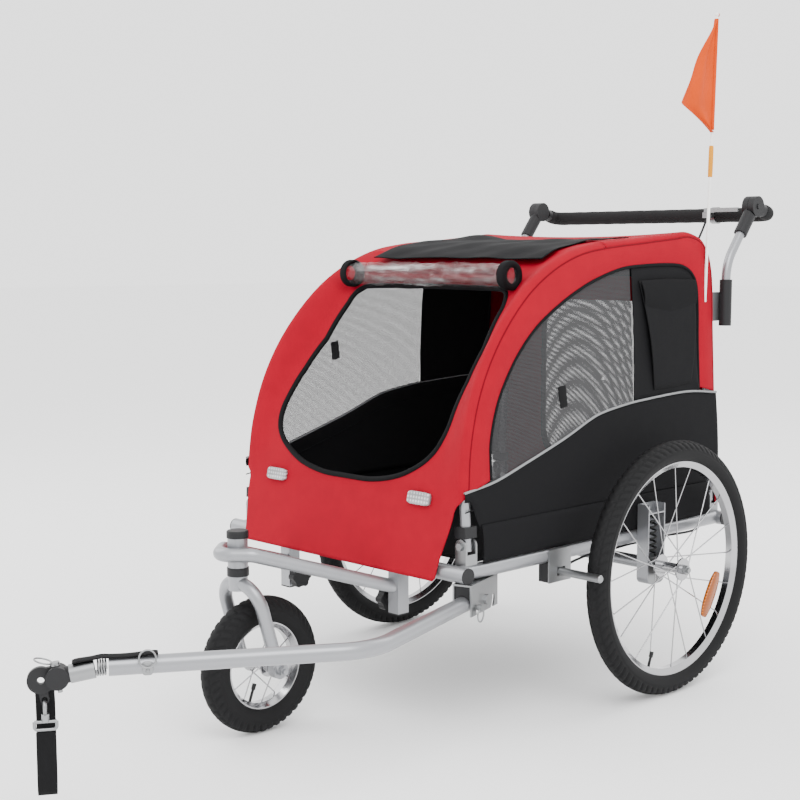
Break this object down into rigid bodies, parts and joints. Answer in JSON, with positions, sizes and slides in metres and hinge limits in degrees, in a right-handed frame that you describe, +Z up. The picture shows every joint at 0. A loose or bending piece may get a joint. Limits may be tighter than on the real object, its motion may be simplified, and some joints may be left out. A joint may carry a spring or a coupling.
{
  "type": "dog bike trailer",
  "caption": "Pet bicycle trailer with fabric cabin, spoked wheels, swivelling front wheel, tow arm with spring hitch, push handle and flag",
  "frame": {"origin": "on the ground at the bottom centre of the whole part", "axes": "+X to the trailer's left, +Y to its rear, +Z up; the tow arm points along -Y"},
  "size_m": [0.8526, 1.73, 1.3445],
  "materials": {
    "silver_paint": "satin silver paint",
    "black_plastic": "moulded black plastic",
    "red_fabric": "woven polyester",
    "black_fabric": "woven polyester",
    "window_mesh": "open mesh",
    "tyre_rubber": "moulded rubber tread",
    "chrome_rim": "polished",
    "zinc_steel": "zinc plated",
    "black_spring": "black lacquer",
    "foam_grip": "soft foam",
    "clear_vinyl": "crinkled clear sheet",
    "reflector": "prismatic",
    "webbing": "flat webbing",
    "white_fibre": "glass fibre rod",
    "orange_flag": "thin dyed sheet"
  },
  "bodies": {
    "chassis": {"side_rails": "silver_paint", "cross_tubes": "silver_paint", "tube_plugs": "black_plastic", "hinge_brackets": "zinc_steel", "frame_bolts": "zinc_steel", "tow_bracket": "zinc_steel", "tow_bracket_liner": "black_plastic", "suspension_brackets": "silver_paint", "jogger_frame": "silver_paint", "clamp_knobs": "black_plastic", "floor_panel": "black_fabric", "brake_mount": "zinc_steel", "brake_housing": "black_plastic", "brake_cable": "black_plastic", "front_panel": "red_fabric", "roof_panel": "black_fabric", "rear_panel": "black_fabric", "side_skirts": "black_fabric", "door_roll": "clear_vinyl", "front_reflectors": "reflector", "left_spring": "black_spring", "right_spring": "black_spring"},
    "left_side": {"left_side_frame": "silver_paint", "left_side_panel": "red_fabric", "left_window_mesh": "window_mesh"},
    "right_side": {"right_side_frame": "silver_paint", "right_side_panel": "red_fabric", "right_window_mesh": "window_mesh"},
    "left_lock": {"left_collars": "black_plastic"},
    "right_lock": {"right_collars": "black_plastic"},
    "handle": {"handle_uprights": "silver_paint", "handle_fittings": "black_plastic"},
    "handle_bar": {"handlebar": "silver_paint", "handle_grip": "foam_grip", "elbow_uppers": "black_plastic", "brake_clamp": "zinc_steel"},
    "brake_lever": {"brake_lever": "zinc_steel"},
    "brake_bolt": {"brake_rod": "zinc_steel"},
    "flag_mast": {"flag_pole": "white_fibre", "flag": "orange_flag"},
    "left_slider": {"left_axle": "zinc_steel"},
    "right_slider": {"right_axle": "zinc_steel"},
    "left_wheel": {"left_tyre": "tyre_rubber", "left_rim": "chrome_rim", "left_hub_spokes": "chrome_rim"},
    "right_wheel": {"right_tyre": "tyre_rubber", "right_rim": "chrome_rim", "right_hub_spokes": "chrome_rim"},
    "fork": {"fork": "silver_paint"},
    "front_wheel": {"front_tyre": "tyre_rubber", "front_rim": "chrome_rim", "front_hub_spokes": "chrome_rim"},
    "tow_arm": {"tow_arm": "silver_paint", "coupler_spring": "zinc_steel"},
    "lock_pin": {"lock_pin": "zinc_steel"},
    "coupler": {"coupler_sleeve": "zinc_steel", "coupler": "black_plastic", "safety_strap": "webbing", "snap_hook": "zinc_steel"},
    "hitch_pin": {"hitch_pin": "zinc_steel"}
  },
  "joints": [
    {"name": "left_suspension", "type": "slide", "parent": "chassis", "child": "left_slider", "axis": [0, 0, 1], "range_m": [0, 0.02], "stiffness_N_per_m": 8000, "springref_m": -0.0125, "deforming": ["left_spring"]},
    {"name": "right_suspension", "type": "slide", "parent": "chassis", "child": "right_slider", "axis": [0, 0, 1], "range_m": [0, 0.02], "stiffness_N_per_m": 8000, "springref_m": -0.0125, "deforming": ["right_spring"]},
    {"name": "left_wheel_spin", "type": "hinge", "parent": "left_slider", "child": "left_wheel", "pos_m": [0.384, 0.39799, 0.25], "axis": [1, 0, 0], "continuous": true},
    {"name": "right_wheel_spin", "type": "hinge", "parent": "right_slider", "child": "right_wheel", "pos_m": [-0.384, 0.39799, 0.25], "axis": [1, 0, 0], "continuous": true},
    {"name": "fork_swivel", "type": "hinge", "parent": "chassis", "child": "fork", "pos_m": [0, -0.36401, 0.31], "axis": [0, 0, 1], "continuous": true},
    {"name": "front_wheel_spin", "type": "hinge", "parent": "fork", "child": "front_wheel", "pos_m": [0, -0.31861, 0.1245], "axis": [1, 0, 0], "continuous": true},
    {"name": "tow_arm_fold", "type": "hinge", "parent": "chassis", "child": "tow_arm", "pos_m": [0.303, -0.07201, 0.256], "axis": [0.9494, 0.314, 0], "range_deg": [0, 165]},
    {"name": "lock_pin_pull", "type": "slide", "parent": "tow_arm", "child": "lock_pin", "axis": [0.9494, 0.314, 0], "range_m": [0, 0.04]},
    {"name": "hitch_flex", "type": "hinge", "parent": "tow_arm", "child": "coupler", "pos_m": [0.20586, -0.77025, 0.256], "axis": [0, 0, 1], "range_deg": [-35, 35], "stiffness_Nm_per_rad": 20, "deforming": ["coupler_spring"]},
    {"name": "hitch_pin_pull", "type": "slide", "parent": "coupler", "child": "hitch_pin", "axis": [-0.0824, -0.133, 0.9877], "range_m": [0, 0.06]},
    {"name": "left_side_fold", "type": "hinge", "parent": "chassis", "child": "left_side", "pos_m": [0.298, 0.39799, 0.352], "axis": [0, -1, 0], "range_deg": [0, 88.5], "deforming": ["front_panel", "roof_panel", "rear_panel", "door_roll"]},
    {"name": "right_side_fold", "type": "hinge", "parent": "chassis", "child": "right_side", "pos_m": [-0.298, 0.39799, 0.352], "axis": [0, 1, 0], "range_deg": [0, 78], "deforming": ["front_panel", "roof_panel", "rear_panel", "door_roll"]},
    {"name": "left_lock_lift", "type": "slide", "parent": "left_side", "child": "left_lock", "axis": [-0.0523, 0, 0.9986], "range_m": [0, 0.025]},
    {"name": "right_lock_lift", "type": "slide", "parent": "right_side", "child": "right_lock", "axis": [0.0523, 0, 0.9986], "range_m": [0, 0.025]},
    {"name": "handle_lift", "type": "slide", "parent": "chassis", "child": "handle", "axis": [0, 0, 1], "range_m": [0, 0.1], "deforming": ["brake_cable"]},
    {"name": "handle_tilt", "type": "hinge", "parent": "handle", "child": "handle_bar", "pos_m": [0, 0.78299, 0.958], "axis": [1, 0, 0], "range_deg": [-45, 60], "deforming": ["brake_cable"]},
    {"name": "brake_lever_pull", "type": "hinge", "parent": "handle_bar", "child": "brake_lever", "pos_m": [0.163, 0.81349, 0.943], "axis": [0, 0, 1], "range_deg": [0, 14], "stiffness_Nm_per_rad": 1, "springref_deg": -8.59},
    {"name": "brake_rod_engage", "type": "slide", "parent": "chassis", "child": "brake_bolt", "axis": [0, 1, 0], "range_m": [0, 0.007]},
    {"name": "flag_lift", "type": "slide", "parent": "chassis", "child": "flag_mast", "axis": [0, 0.0332, 0.9995], "range_m": [0, 0.08]}
  ],
  "couplings": [
    {"joint": "brake_rod_engage", "follows": "brake_lever_pull", "m_per_rad": 0.028647}
  ]
}
